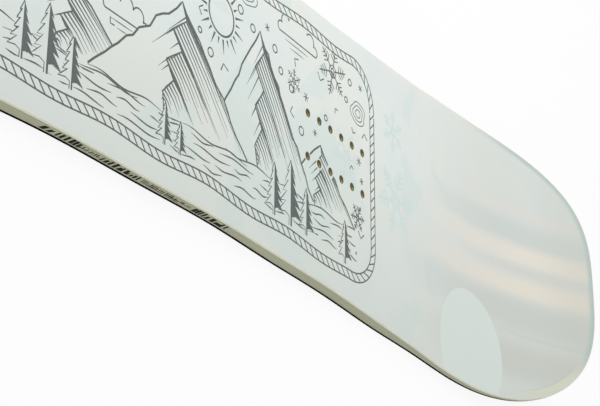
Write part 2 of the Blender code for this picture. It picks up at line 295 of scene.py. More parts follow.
def add_piece(name, points, faces, materials, face_materials=None):
    """A smooth-shaded object from points and faces, with its faces turned outward."""
    mesh = bpy.data.meshes.new(name)
    mesh.from_pydata(points, [], faces)
    for material in materials:
        mesh.materials.append(material)
    if face_materials:
        mesh.polygons.foreach_set("material_index", face_materials)
    bm = bmesh.new()
    bm.from_mesh(mesh)
    bmesh.ops.remove_doubles(bm, verts=bm.verts, dist=MERGE_DISTANCE)
    bmesh.ops.recalc_face_normals(bm, faces=bm.faces)
    bm.to_mesh(mesh)
    bm.free()
    mesh.shade_smooth()
    mesh.set_sharp_from_angle(angle=CREASE_ANGLE)
    return add_object(name, mesh)


def ring_faces(start, size):
    """The faces between the ring of points that begins with this one and the next ring."""
    faces = []
    for corner in range(size):
        beside = (corner + 1) % size
        faces.append((start + corner, start + beside, start + size + beside, start + size + corner))
    return faces


def loft(name, sections, materials, bands, cap_ends):
    """A solid through rings of points. Bands gives each ring stretch's material number."""
    size = len(sections[0])
    points = [point for section in sections for point in section]
    faces = []
    face_materials = []
    for ring in range(len(sections) - 1):
        faces += ring_faces(ring * size, size)
        face_materials += bands
    if cap_ends:
        last = len(points) - size
        faces += [tuple(range(size)), tuple(range(last, last + size))]
        face_materials += [bands[0], bands[0]]
    return add_piece(name, points, faces, materials, face_materials)


def corner_at(station, side, inset, height):
    """A point set in from the outline at this station, at this height above the underside."""
    x, y, nx, ny = station
    inner_x = x - inset * nx
    inner_y = y - inset * ny
    return inner_x, side * inner_y, base_height(inner_x) + height


def full_sheet(name, profile, materials, bands=None):
    """A sheet with the board's whole outline. Profile(x) gives (inset, height) up one side."""
    sections = []
    for station in OUTLINE:
        pairs = profile(station[0])
        left = [corner_at(station, 1, inset, height) for inset, height in pairs]
        right = [corner_at(station, -1, inset, height) for inset, height in pairs]
        sections.append(left + right[::-1])
    count = len(sections[0]) // 2
    side_bands = bands or [0] * (count - 1)
    ring_bands = side_bands + [0] + side_bands[::-1] + [0]
    return loft(name, sections, materials, ring_bands, cap_ends=False)


def side_strip(name, side, profile, materials, stations, closed_tips):
    """A strip round one side with this section, from the first station to the last."""
    stations = list(stations)
    if closed_tips:
        half_gap = SIDE_CLEARANCE / 2
        stations[0] = (-HALF_LENGTH, half_gap, -1.0, 0.0)
        stations[-1] = (HALF_LENGTH, half_gap, 1.0, 0.0)
    sections = []
    for station in stations:
        sections.append([corner_at(station, side, i, h) for i, h in profile(station[0])])
    return loft(name, sections, materials, [0] * len(sections[0]), cap_ends=True)


def rounded(corners, rounding, steps=3):
    """This closed outline of (inset, height) points with each corner marked True rounded."""
    made = []
    count = len(corners)
    for number, (inset, height, round_it) in enumerate(corners):
        here = Vector((inset, height))
        if not round_it:
            made.append((inset, height))
            continue
        before = Vector(corners[number - 1][:2]) - here
        after = Vector(corners[(number + 1) % count][:2]) - here
        longest = min(before.length, after.length) / SIDE_PER_ROUNDING
        reach = min(rounding, longest)
        start = here + before.normalized() * reach
        end = here + after.normalized() * reach
        for step in range(steps + 1):
            share = step / steps
            a = start.lerp(here, share)
            b = here.lerp(end, share)
            point = a.lerp(b, share)
            made.append((point.x, point.y))
    return made


# Materials

def srgb(red, green, blue):
    """A colour seen in the photo, 0 to 255, as the linear colour that renders as it."""
    def linear(value):
        value /= 255
        return value / 12.92 if value <= 0.04045 else ((value + 0.055) / 1.055) ** 2.4
    return linear(red), linear(green), linear(blue), 1.0


# Most of a noise's values lie between these
NOISE_LOW = 0.3
NOISE_HIGH = 0.7


class Finish:
    """A material's node tree, built by short calls."""

    def __init__(self, name):
        self.material = bpy.data.materials.new(name)
        self.material.use_nodes = True
        self.tree = self.material.node_tree
        self.shader = self.tree.nodes["Principled BSDF"]
        self.place = self.add("ShaderNodeTexCoord").outputs["Object"]

    def add(self, kind, **settings):
        node = self.tree.nodes.new(kind)
        for key, value in settings.items():
            setattr(node, key, value)
        return node

    def put(self, value, socket):
        """Links a socket to another one, or sets it to a plain value."""
        if isinstance(value, bpy.types.NodeSocket):
            self.tree.links.new(value, socket)
        else:
            socket.default_value = value

    def feed(self, node, **inputs):
        for key, value in inputs.items():
            self.put(value, node.inputs[key.replace("_", " ")])

    def set(self, **values):
        self.feed(self.shader, **values)

    def scaled(self, x, y, z):
        node = self.add("ShaderNodeMapping")
        self.feed(node, Vector=self.place, Scale=(x, y, z))
        return node.outputs["Vector"]

    def noise(self, scale, detail=2.0, roughness=0.5, vector=None, distortion=0.0):
        node = self.add("ShaderNodeTexNoise")
        self.feed(node, Vector=vector or self.place, Scale=scale, Detail=detail)
        self.feed(node, Roughness=roughness, Distortion=distortion)
        return node.outputs["Fac"]

    def weave(self, scale, distortion, detail):
        node = self.add("ShaderNodeTexWave", wave_type="BANDS", bands_direction="DIAGONAL")
        self.feed(node, Vector=self.place, Scale=scale, Distortion=distortion, Detail=detail)
        return node.outputs["Fac"]

    def math(self, operation, *values):
        node = self.add("ShaderNodeMath", operation=operation)
        for socket, value in zip(node.inputs, values):
            self.put(value, socket)
        return node.outputs[0]

    def between(self, value, low, high, to_low=0.0, to_high=1.0, smooth=True):
        """Value mapped from low..high to to_low..to_high, held at both ends."""
        node = self.add("ShaderNodeMapRange", interpolation_type="SMOOTHSTEP" if smooth else "LINEAR")
        self.feed(node, Value=value, From_Min=low, From_Max=high, To_Min=to_low, To_Max=to_high)
        return node.outputs["Result"]

    def ramp(self, value, *stops):
        node = self.add("ShaderNodeValToRGB")
        band = node.color_ramp
        while len(band.elements) < len(stops):
            band.elements.new(0.5)
        for element, (place, colour) in zip(band.elements, stops):
            element.position = place
            element.color = colour
        self.feed(node, Fac=value)
        return node.outputs["Color"]

    def tones(self, value, dark, light):
        return self.ramp(value, (NOISE_LOW, dark), (NOISE_HIGH, light))

    def mix(self, share, first, second):
        node = self.add("ShaderNodeMix", data_type="RGBA")
        for number, value in ((0, share), (6, first), (7, second)):
            self.put(value, node.inputs[number])
        return node.outputs[2]

    def axes(self):
        node = self.add("ShaderNodeSeparateXYZ")
        self.feed(node, Vector=self.place)
        return node.outputs["X"], node.outputs["Y"]

    def attribute(self, name):
        return self.add("ShaderNodeAttribute", attribute_name=name).outputs["Fac"]

    def bump(self, height, strength, distance):
        node = self.add("ShaderNodeBump")
        self.feed(node, Height=height, Strength=strength, Distance=distance)
        self.set(Normal=node.outputs["Normal"])

    def colour(self, source):
        self.set(Base_Color=source)

    def roughness(self, value, low, high):
        self.set(Roughness=self.between(value, NOISE_LOW, NOISE_HIGH, low, high))


# Soft streaks of the print towards each end:
# (where across the board, half width, colour, depth, where along it starts and is full)
STREAKS = (
    (0.066, 0.004, srgb(229, 224, 215), 0.5, 0.50, 0.62),
    (0.041, 0.013, srgb(209, 216, 212), 0.8, 0.44, 0.62),
    (0.018, 0.011, srgb(236, 231, 218), 0.95, 0.38, 0.70),
    (0.001, 0.007, srgb(215, 214, 207), 0.45, 0.50, 0.68),
    (-0.019, 0.013, srgb(236, 230, 216), 0.95, 0.36, 0.70),
    (-0.051, 0.019, srgb(206, 212, 205), 0.8, 0.38, 0.60),
    (-0.0725, 0.0022, srgb(200, 209, 204), 0.4, 0.56, 0.68),
    (-0.101, 0.020, srgb(205, 209, 201), 0.8, 0.42, 0.60),
)
DISC_PLACE = (0.553, -0.110)
DISC_RADIUS = 0.063


def film_finish():
    """The printed film: cool white with washed tints, streaks towards the ends and a pale disc, with
    painted shade towards the near side and the tips.
    """
    f = Finish("printed film")
    x, y = f.axes()
    along = f.math("ABSOLUTE", x)
    across = f.math("MULTIPLY", y, f.math("SIGN", x))

    wash = f.noise(5.5, detail=3.0, roughness=0.55)
    tint = f.ramp(
        wash,
        (0.30, srgb(222, 233, 232)),
        (0.45, srgb(230, 237, 233)),
        (0.55, srgb(234, 237, 231)),
        (0.70, srgb(226, 235, 229)),
    )
    clouds = f.noise(2.6, detail=1.0, vector=f.scaled(1, 2.0, 1))
    tint = f.mix(f.between(clouds, 0.45, 0.7, 0.0, 0.4), tint, srgb(234, 232, 226))
    washes = f.noise(13, detail=1.0, roughness=0.4, distortion=0.8)
    tint = f.mix(f.between(washes, 0.56, 0.61, 0.0, 0.45), tint, srgb(211, 230, 227))
    # Darker and greener towards the near side: partly a print tint, partly painted shade for the light
    # falling off across the board.
    tint = f.mix(f.between(y, -0.13, 0.05, 0.55, 0.0, smooth=False), tint, srgb(206, 217, 210))

    wander = f.math("MULTIPLY", f.math("SUBTRACT", f.noise(3.0, vector=f.scaled(1, 3, 1)), 0.5), 0.02)
    streak_place = f.math("ADD", across, wander)
    # Greyer towards each end: partly the print's tone, partly painted shade of the rising tips.
    ends = f.mix(f.between(along, 0.38, 0.64, 0.0, 0.75), tint, srgb(218, 222, 217))
    for centre, width, colour, strength, start, full in STREAKS:
        away = f.math("ABSOLUTE", f.math("SUBTRACT", streak_place, centre))
        share = f.between(away, width * 0.3, width * 1.6, strength, 0.0)
        ends = f.mix(f.math("MULTIPLY", share, f.between(along, start, full)), ends, colour)

    dx = f.math("SUBTRACT", along, DISC_PLACE[0])
    dy = f.math("SUBTRACT", across, DISC_PLACE[1])
    reach = f.math("SQRT", f.math("ADD", f.math("MULTIPLY", dx, dx), f.math("MULTIPLY", dy, dy)))
    # Painted shade: darker still towards each tip's end, where the kicked-up tip turns away from the light.
    ends = f.mix(f.between(along, 0.66, HALF_LENGTH, 0.0, 0.4), ends, srgb(198, 200, 190))
    on_disc = f.between(reach, DISC_RADIUS - 0.0003, DISC_RADIUS + 0.0003, 1.0, 0.0)
    printed = f.mix(on_disc, ends, srgb(222, 231, 226))

    rim = f.attribute("rim")
    near_end = f.between(along, 0.54, 0.68)
    sideways = f.between(across, -0.115, -0.070)
    tinted = f.math("MULTIPLY", f.between(rim, 0.1, 0.8), f.math("MULTIPLY", sideways, near_end))
    printed = f.mix(tinted, printed, srgb(186, 201, 195))
    corner = f.math("MULTIPLY", f.math("SUBTRACT", 1.0, sideways), f.between(along, 0.62, 0.68))
    line = f.math("MULTIPLY", f.between(rim, 0.01, 0.05), f.between(rim, 0.06, 0.14, 0.6, 0.0))
    printed = f.mix(f.math("MULTIPLY", line, corner), printed, srgb(184, 191, 180))
    pale = f.math("MULTIPLY", f.between(rim, 0.06, 0.14), corner)
    f.colour(f.mix(pale, printed, srgb(217, 222, 204)))

    f.roughness(f.noise(60, detail=4.0), 0.40, 0.50)
    yarns = f.math("MULTIPLY", f.weave(420.0, 1.5, 1.0), 0.4)
    f.bump(f.math("ADD", yarns, f.noise(700)), 0.12, 0.00003)
    f.set(Specular_IOR_Level=0.4, Coat_Weight=0.12, Coat_Roughness=0.22)
    return f.material


def cut_edge_finish():
    """The trimmed edge of film and glass laminate: cream, with faint lengthwise plies."""
    f = Finish("trimmed laminate edge")
    plies = f.noise(1.0, detail=3.0, vector=f.scaled(14, 14, 9000))
    specks = f.noise(900, detail=2.0)
    tone = f.tones(plies, srgb(234, 236, 212), srgb(250, 250, 234))
    f.colour(f.mix(f.between(specks, 0.55, 0.75, 0.0, 0.35), tone, srgb(216, 218, 190)))
    f.roughness(specks, 0.38, 0.55)
    f.bump(plies, 0.25, 0.00005)
    return f.material


def drilled_wall_finish():
    """The wall of a drilled hole: sawn resin and glass, olive grey."""
    f = Finish("drilled resin")
    rings = f.noise(1.0, detail=3.0, vector=f.scaled(60, 60, 8000))
    f.colour(f.tones(rings, srgb(146, 146, 124), srgb(178, 178, 156)))
    f.set(Roughness=0.5)
    f.bump(rings, 0.3, 0.00004)
    return f.material


def glass_finish():
    """Cured glass laminate, with its crossed yarns showing faintly."""
    f = Finish("glass laminate")
    weave = f.weave(260.0, 2.0, 2.0)
    blotch = f.noise(24, detail=3.0)
    tone = f.ramp(weave, (0.2, srgb(201, 205, 184)), (0.8, srgb(222, 225, 207)))
    f.colour(f.mix(f.between(blotch, 0.4, 0.7, 0.0, 0.3), tone, srgb(196, 198, 172)))
    f.roughness(blotch, 0.35, 0.5)
    f.bump(weave, 0.2, 0.00005)
    return f.material


def sidewall_finish():
    """Planed olive-beige plastic: lengthwise planing lines and small scuffs."""
    f = Finish("planed sidewall")
    planing = f.noise(1.0, detail=4.0, roughness=0.6, vector=f.scaled(6, 6, 5200))
    patches = f.noise(16, detail=3.0)
    scuffs = f.noise(1.0, detail=4.0, roughness=0.7, vector=f.scaled(180, 180, 900))
    tone = f.tones(patches, srgb(172, 174, 144), srgb(186, 188, 158))
    tone = f.mix(f.between(planing, 0.35, 0.65, 0.0, 0.35), tone, srgb(158, 160, 134))
    f.colour(f.mix(f.between(scuffs, 0.64, 0.74, 0.0, 0.4), tone, srgb(200, 201, 184)))
    f.roughness(patches, 0.42, 0.56)
    f.bump(f.math("ADD", planing, f.math("MULTIPLY", scuffs, 0.3)), 0.35, 0.00006)
    return f.material


def spacer_finish():
    """Moulded plastic of the tip and tail, pale grey-green and slightly cloudy."""
    f = Finish("moulded spacer")
    cloudy = f.noise(30, detail=4.0)
    fine = f.noise(1500, detail=2.0)
    f.colour(f.tones(cloudy, srgb(186, 194, 180), srgb(203, 208, 192)))
    f.roughness(cloudy, 0.38, 0.5)
    f.bump(fine, 0.15, 0.00003)
    f.set(Subsurface_Weight=0.05, Subsurface_Scale=0.002)
    return f.material


def steel_finish():
    """Hardened edge steel, ground lengthwise, with near-black colour as painted shade and the odd bright
    nick.
    """
    f = Finish("ground steel")
    grinding = f.noise(1.0, detail=5.0, roughness=0.65, vector=f.scaled(3, 900, 5200))
    tarnish_and_shade = f.noise(22, detail=4.0)
    nicks = f.noise(1.0, detail=2.0, vector=f.scaled(220, 220, 1400))
    # Painted shade: both tones are near black, far darker than ground steel, to stand in for the edge's
    # shade and dark reflections.
    tone = f.tones(tarnish_and_shade, srgb(14, 13, 8), srgb(26, 25, 18))
    tone = f.mix(f.between(grinding, 0.4, 0.7, 0.0, 0.4), tone, srgb(36, 35, 28))
    f.colour(f.mix(f.between(nicks, 0.78, 0.84, 0.0, 0.6), tone, srgb(100, 100, 95)))
    f.roughness(grinding, 0.30, 0.5)
    f.bump(grinding, 0.3, 0.00003)
    # The dark specular tint dims the steel's reflections, also as painted shade.
    f.set(Metallic=1.0, Specular_Tint=(0.22, 0.22, 0.19, 1.0))
    return f.material


def base_finish():
    """Sintered running base, near black, with the fine lengthwise structure of stone grinding."""
    f = Finish("stone-ground base")
    structure = f.noise(1.0, detail=4.0, roughness=0.6, vector=f.scaled(7, 1500, 7))
    grain = f.noise(420, detail=3.0)
    wax = f.noise(9, detail=3.0)
    tone = f.tones(grain, srgb(30, 31, 33), srgb(42, 43, 46))
    f.colour(f.mix(f.between(wax, 0.4, 0.7, 0.0, 0.3), tone, srgb(58, 60, 63)))
    f.roughness(wax, 0.28, 0.44)
    f.bump(structure, 0.45, 0.00005)
    return f.material


def rubber_finish():
    f = Finish("damping rubber")
    grain = f.noise(1800, detail=3.0)
    f.colour(f.tones(grain, srgb(22, 22, 22), srgb(38, 38, 37)))
    f.roughness(grain, 0.7, 0.85)
    f.bump(grain, 0.2, 0.00003)
    return f.material


def wood_finish(name, dark, light):
    """A core strip's wood, its grain running lengthwise."""
    f = Finish(name)
    bend = f.noise(5, detail=2.0, vector=f.scaled(1, 6, 6))
    grain = f.noise(1.0, detail=5.0, roughness=0.6, vector=f.scaled(9, 420, 420), distortion=0.6)
    pores = f.noise(1.0, detail=2.0, vector=f.scaled(60, 2600, 2600))
    tone = f.ramp(f.math("ADD", f.math("MULTIPLY", grain, 0.7), f.math("MULTIPLY", bend, 0.3)),
                  (0.35, dark), (0.65, light))
    f.colour(f.mix(f.between(pores, 0.58, 0.7, 0.0, 0.35), tone, dark))
    f.roughness(grain, 0.5, 0.7)
    f.bump(grain, 0.3, 0.00008)
    return f.material


def insert_finish():
    """Turned metal of the inserts, brassy, with the marks of the lathe."""
    f = Finish("turned insert")
    rings = f.noise(1.0, detail=4.0, vector=f.scaled(300, 300, 9000))
    stain = f.noise(350, detail=3.0)
    tone = f.tones(stain, srgb(104, 94, 62), srgb(148, 134, 92))
    f.colour(f.mix(f.between(rings, 0.4, 0.7, 0.0, 0.3), tone, srgb(78, 70, 46)))
    f.roughness(rings, 0.28, 0.45)
    f.bump(rings, 0.2, 0.00002)
    f.set(Metallic=1.0)
    return f.material


def ink_finish(name, deep, thin, roughness, shine):
    """Printing ink with slight unevenness."""
    f = Finish(name)
    uneven = f.noise(260, detail=4.0)
    f.colour(f.ramp(uneven, (0.3, deep), (0.75, thin)))
    f.roughness(uneven, roughness, roughness + 0.1)
    f.set(Specular_IOR_Level=shine)
    return f.material


FILM = film_finish()
CUT_EDGE = cut_edge_finish()
DRILLED_WALL = drilled_wall_finish()
GLASS = glass_finish()
SIDEWALL = sidewall_finish()
SPACER = spacer_finish()
STEEL = steel_finish()
BASE = base_finish()
RUBBER = rubber_finish()
BEECH = wood_finish("beech", srgb(142, 98, 62), srgb(186, 142, 100))
POPLAR = wood_finish("poplar", srgb(188, 156, 112), srgb(226, 202, 160))
INSERT_METAL = insert_finish()
INK = ink_finish("line ink", srgb(66, 76, 74), srgb(82, 92, 89), 0.4, 0.45)
GHOST_INK = ink_finish("faint ink", srgb(208, 226, 223), srgb(215, 230, 227), 0.38, 0.45)
SIDE_INK = ink_finish("side ink", srgb(14, 14, 10), srgb(26, 26, 21), 0.6, 0.1)


# Layers of the board

def drilled(piece, low):
    """Cuts the insert holes through a sheet, from this height over the underside."""
    points = []
    faces = []
    face_materials = []
    radius = DRILLED_HOLE_DIAMETER / 2
    deck = topsheet_top(STANCE / 2)
    rings = ((low, radius), (deck - HOLE_CHAMFER, radius), (deck + HOLE_CHAMFER, radius + 2 * HOLE_CHAMFER))
    for x, y in insert_places():
        start = len(points)
        for height, reach in rings:
            for number in range(HOLE_SIDES):
                angle = 2 * pi * number / HOLE_SIDES
                points.append((x + reach * cos(angle), y + reach * sin(angle), base_height(x) + height))
        for ring in (0, 1):
            faces += ring_faces(start + ring * HOLE_SIDES, HOLE_SIDES)
            face_materials += [ring] * HOLE_SIDES
        for end in (start, start + 2 * HOLE_SIDES):
            faces.append(tuple(range(end, end + HOLE_SIDES)))
            face_materials.append(0)
    tool = add_piece("drill_tool", points, faces, [DRILLED_WALL, CUT_EDGE], face_materials)
    cut = piece.modifiers.new("holes", "BOOLEAN")
    cut.operation = "DIFFERENCE"
    cut.solver = "EXACT"
    cut.material_mode = "TRANSFER"
    cut.object = tool
    bpy.context.view_layer.update()
    evaluated = piece.evaluated_get(bpy.context.evaluated_depsgraph_get())
    mesh = bpy.data.meshes.new_from_object(evaluated)
    piece.modifiers.clear()
    piece.data = mesh
    bpy.data.objects.remove(tool)
    return piece


def deck_slope(x):
    """The deck's slope, averaged so that its shading shows no crease between the curves."""
    ahead = min(x + SHADING_REACH, HALF_LENGTH)
    behind = max(x - SHADING_REACH, -HALF_LENGTH)
    return (deck_height(ahead) - deck_height(behind)) / (ahead - behind)


def smooth_deck(piece):
    """Sets the normals of the flat of the deck, which the cut holes would leave streaky."""
    mesh = piece.data
    normals = [corner.vector.copy() for corner in mesh.corner_normals]
    rim = mesh.attributes["rim"].data
    for polygon in mesh.polygons:
        if mesh.materials[polygon.material_index] != FILM or polygon.normal.z < LEAST_FLATNESS:
            continue
        for corner in polygon.loop_indices:
            vertex = mesh.loops[corner].vertex_index
            if rim[vertex].value < RIM_START:
                x = mesh.vertices[vertex].co.x
                normals[corner] = Vector((-deck_slope(x), 0, 1)).normalized()
    mesh.normals_split_custom_set(normals)


def film_height(x):
    """Height of the film's flat, whose sections stand square to the outline."""
    slope = sidecut_slope(x)
    inset = lean(x, topsheet_top(x)) + SKIN + RIM_WIDTH
    station = x - inset * slope / hypot(1, slope)
    return deck_height(x) + topsheet_top(station) - topsheet_top(x)


def insert_places():
    places = []
    for end in (1, -1):
        first = end * STANCE / 2 - INSERT_PITCH * (INSERTS_PER_ROW - 1) / 2
        for side in (1, -1):
            for number in range(INSERTS_PER_ROW):
                places.append((first + number * INSERT_PITCH, side * INSERT_ROW_SPACING / 2))
    return places


def topsheet_profile(x):
    """Up the bevelled edge, over its rounded top and in along the sloping rim."""
    low = topsheet_bottom(x)
    high = topsheet_top(x)
    edge = high - RIM_DROP
    top = lean(x, high) + SKIN
    return [
        (top + RIM_WIDTH, low),
        (lean(x, low) + SKIN, low),
        (lean(x, edge - FILM_ROUNDING) + SKIN, edge - FILM_ROUNDING),
        (lean(x, edge) + SKIN + FILM_ROUNDING / 2, edge - FILM_ROUNDING / 4),
    ] + [(top + inset, high - RIM_DROP * drop) for inset, drop in RIM_SLOPE]


def mark_rim(piece):
    """Stores how near each point of the film lies to its edge, from 0 inside the rim to 1."""
    places = KDTree(2 * len(OUTLINE))
    for number, station in enumerate(OUTLINE):
        x, y = station[:2]
        places.insert((x, y, 0), number)
        places.insert((x, -y, 0), number)
    places.balance()
    values = piece.data.attributes.new("rim", "FLOAT", "POINT")
    for vertex, value in zip(piece.data.vertices, values.data):
        x, y = vertex.co.xy
        inset = places.find((x, y, 0))[2]
        top = lean(x, topsheet_top(x)) + SKIN
        value.value = min(max(1 - (inset - top) / RIM_WIDTH, 0.0), 1.0)


def make_topsheet():
    piece = full_sheet(
        "printed_topsheet", topsheet_profile, [FILM, CUT_EDGE, DRILLED_WALL],
        [0, 1, 1, 1, 0, 0, 0, 0],
    )
    mark_rim(piece)
    drilled(piece, topsheet_bottom(STANCE / 2) - DRILL_OVERSHOOT)
    smooth_deck(piece)
    return piece


def make_top_laminate():
    def profile(x):
        low = top_laminate_bottom(x) - JOINT_FILL
        high = top_laminate_top(x) + JOINT_FILL
        return [(lean(x, low) + SKIN, low), (lean(x, high) + SKIN, high)]
    piece = full_sheet("glass_laminate_top", profile, [GLASS, CUT_EDGE, DRILLED_WALL], [1])
    return drilled(piece, top_laminate_bottom(STANCE / 2) - DRILL_OVERSHOOT)


def make_bottom_laminate():
    def profile(x):
        inner = ANCHOR_REACH + SIDE_CLEARANCE
        return [
            (inner, LAMINATE_OVER_BASE),
            (inner, LAMINATE_OVER_FOIL),
            (lean(x, LAMINATE_OVER_FOIL) + SKIN, LAMINATE_OVER_FOIL),
            (lean(x, BOTTOM_LAMINATE_TOP) + SKIN, BOTTOM_LAMINATE_TOP + JOINT_FILL),
        ]
    return full_sheet("glass_laminate_bottom", profile, [GLASS, SIDEWALL], [0, 0, 1])


def make_base():
    """The running base, with a fine step down to the edges, as it wears and is ground."""
    def profile(x):
        inner = EDGE_WIDTH + GLUE_LINE
        return [
            (inner + 6 * BASE_ROUNDING, 0.0),
            (inner + BASE_ROUNDING, BASE_ROUNDING / 5),
            (inner, BASE_ROUNDING),
            (inner, BASE_THICKNESS),
        ]
    return full_sheet("running_base", profile, [BASE])


def edge_profile(x):
    """The steel edge with its anchor, alike all the way round."""
    corners = [
        (SKIN, 0.0, True),
        (EDGE_WIDTH, 0.0, True),
        (EDGE_WIDTH, LAMINATE_OVER_BASE, False),
        (ANCHOR_REACH, LAMINATE_OVER_BASE, False),
        (ANCHOR_REACH, EDGE_TOP, False),
        (SKIN, EDGE_TOP, True),
    ]
    return rounded(corners, EDGE_ROUNDING)


def foil_profile(x):
    return [
        (FOIL_SETBACK, FOIL_BOTTOM),
        (ANCHOR_REACH, FOIL_BOTTOM),
        (ANCHOR_REACH, FOIL_TOP),
        (FOIL_SETBACK, FOIL_TOP),
    ]


def sidewall_profile(x):
    low = CORE_BOTTOM
    high = core_top(x)
    return rounded(
        [
            (SIDEWALL_WIDTH, low, False),
            (lean(x, low) + SKIN, low, True),
            (lean(x, high) + SKIN, high, True),
            (SIDEWALL_WIDTH, high, False),
        ],
        SIDEWALL_ROUNDING,
    )


def make_sidewall(side_name, side):
    """The sidewall along the core, with its ends square to the board's length."""
    stations = [s for s in OUTLINE if abs(s[0]) < HALF_CORE - SIDE_CLEARANCE]
    piece = side_strip(
        "planed_sidewall_" + side_name, side, sidewall_profile, [SIDEWALL], stations, False
    )
    for vertex in piece.data.vertices:
        vertex.co.x = min(max(vertex.co.x, -HALF_CORE), HALF_CORE)
    return piece


def make_spacer(name, end):
    """The plastic that fills a tip past the core, with its outer edge gently rounded."""
    start = HALF_CORE + SIDE_CLEARANCE
    inner = (start, half_width(start), 0.0, 1.0)
    past = [s for s in TIP_HALF if s[0] > start + 0.004]
    sections = []
    for station in [inner] + past:
        pairs = sidewall_profile(station[0])
        ring = []
        for side, order in ((1, pairs), (-1, pairs[::-1])):
            for inset, height in order:
                px, py, pz = corner_at(station, side, inset, height)
                ring.append((end * max(px, start), py, pz))
        sections.append(ring)
    piece = loft(name, sections, [SPACER], [0] * len(sections[0]), cap_ends=False)
    bm = bmesh.new()
    bm.from_mesh(piece.data)
    bmesh.ops.holes_fill(bm, edges=[edge for edge in bm.edges if edge.is_boundary])
    bmesh.ops.recalc_face_normals(bm, faces=bm.faces)
    bm.to_mesh(piece.data)
    bm.free()
    return piece


# Inserts

def insert_mesh():
    """A blind threaded insert: flange, fluted barrel, countersunk mouth and a cut thread."""
    flange = FLANGE_DIAMETER / 2
    barrel = INSERT_BARREL_DIAMETER / 2
    bore = INSERT_BORE_DIAMETER / 2
    top = SEAT_CORE_THICKNESS
    chamfer = 0.0002
    rows = [
        (lambda a: flange - chamfer, 0.0),
        (lambda a: flange, chamfer),
        (lambda a: flange, FLANGE_THICKNESS - chamfer),
        (lambda a: flange - chamfer, FLANGE_THICKNESS),
    ]

    def fluted(angle):
        wave = 0.5 - 0.5 * cos(BARREL_FLUTES * angle)
        return barrel - FLUTE_DEPTH * wave

    rows += [
        (fluted, FLANGE_THICKNESS),
        (fluted, top - 3 * chamfer),
        (lambda a: barrel - FLUTE_DEPTH, top - 2 * chamfer),
        (lambda a: barrel - FLUTE_DEPTH, top - chamfer),
        (lambda a: barrel - FLUTE_DEPTH - chamfer, top),
        (lambda a: bore + THREAD_DEPTH + 2 * chamfer, top),
    ]
    depth = top - 2 * chamfer - INSERT_FLOOR
    count = round(depth / THREAD_PITCH * THREAD_ROWS_PER_PITCH)

    def threaded(height):
        def radius(angle):
            turn = height / THREAD_PITCH + angle / (2 * pi)
            phase = turn - floor(turn)
            return bore + THREAD_DEPTH * abs(2 * phase - 1)
        return radius

    for number in range(count + 1):
        height = top - 2 * chamfer - depth * number / count
        rows.append((threaded(height), height))
    points = []
    for radius, height in rows:
        for number in range(INSERT_SIDES):
            angle = 2 * pi * number / INSERT_SIDES
            r = radius(angle)
            points.append((r * cos(angle), r * sin(angle), height))
    faces = []
    for row in range(len(rows) - 1):
        faces += ring_faces(row * INSERT_SIDES, INSERT_SIDES)
    last = len(points) - INSERT_SIDES
    faces += [tuple(range(INSERT_SIDES)), tuple(range(last, last + INSERT_SIDES))]
    pattern = add_piece("insert_pattern", points, faces, [INSERT_METAL])
    mesh = pattern.data
    bpy.data.objects.remove(pattern)
    return mesh


def make_inserts():
    mesh = insert_mesh()
    for pack_name, end in (("front", 1), ("rear", -1)):
        first = end * STANCE / 2 - INSERT_PITCH * (INSERTS_PER_ROW - 1) / 2
        for side_name, side in (("left", 1), ("right", -1)):
            for number in range(INSERTS_PER_ROW):
                x = first + number * INSERT_PITCH
                y = side * INSERT_ROW_SPACING / 2
                tilt = atan(2 * ARCH_HEIGHT * x / HALF_ARCH ** 2)
                node = f"insert_{pack_name}_{side_name}_{number + 1}"
                piece = add_object("threaded_" + node, mesh)
                height = base_height(x) + CORE_BOTTOM
                piece.matrix_world = Matrix.Translation((x, y, height)) @ Matrix.Rotation(tilt, 4, "Y")
                settle(piece, "insert", node)


def settle(piece, slot, *nodes):
    """Joins a piece to the board and hides the solids it stands for."""
    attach(piece, "root")
    if nodes:
        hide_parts(*nodes)


# The printed drawing

BOLD = 0.0018
MEDIUM = 0.0013
FINE = 0.0009
EDGE_MARGIN = 0.010
ROPE_INSET = 0.026
ROPE_WIDTH = 0.008
ROPE_ENDS = (-0.470, 0.350)
ROPE_CORNER = 0.040
ROPE_SWAY = 0.0016
TRACE_STEP = 0.0010
STRAIGHT_LIMIT = 0.008
TURN_LIMIT = radians(2.5)
HOLE_MARGIN = 0.0012
INK_STEP = 0.0000006
INK_STEPS = 16
DRIFT_ROW = 0.0065
DRIFT_HEIGHT = 0.0012
ROPE_PITCH = 0.0085
ROPE_SWAY_REACH = 0.019
SCATTER_MARGIN = 0.014
SCATTER_SPACING = 0.018
SCATTER_TRIES = 4000
PUFF_SIDES = 10
CLOUD_ROW = 0.005
CRYSTAL_HUB = 0.12
CRYSTAL_RING = 0.27
RAY_START = 1.16
RAY_ENDS = (1.50, 1.85)
RAY_WIDTH = 0.0024
# A rope's turn: shares of its pitch along it and of its width aside
ROPE_TURN = ((-0.45, 0.5), (-0.18, 0.2), (0.18, -0.2), (0.45, -0.5))


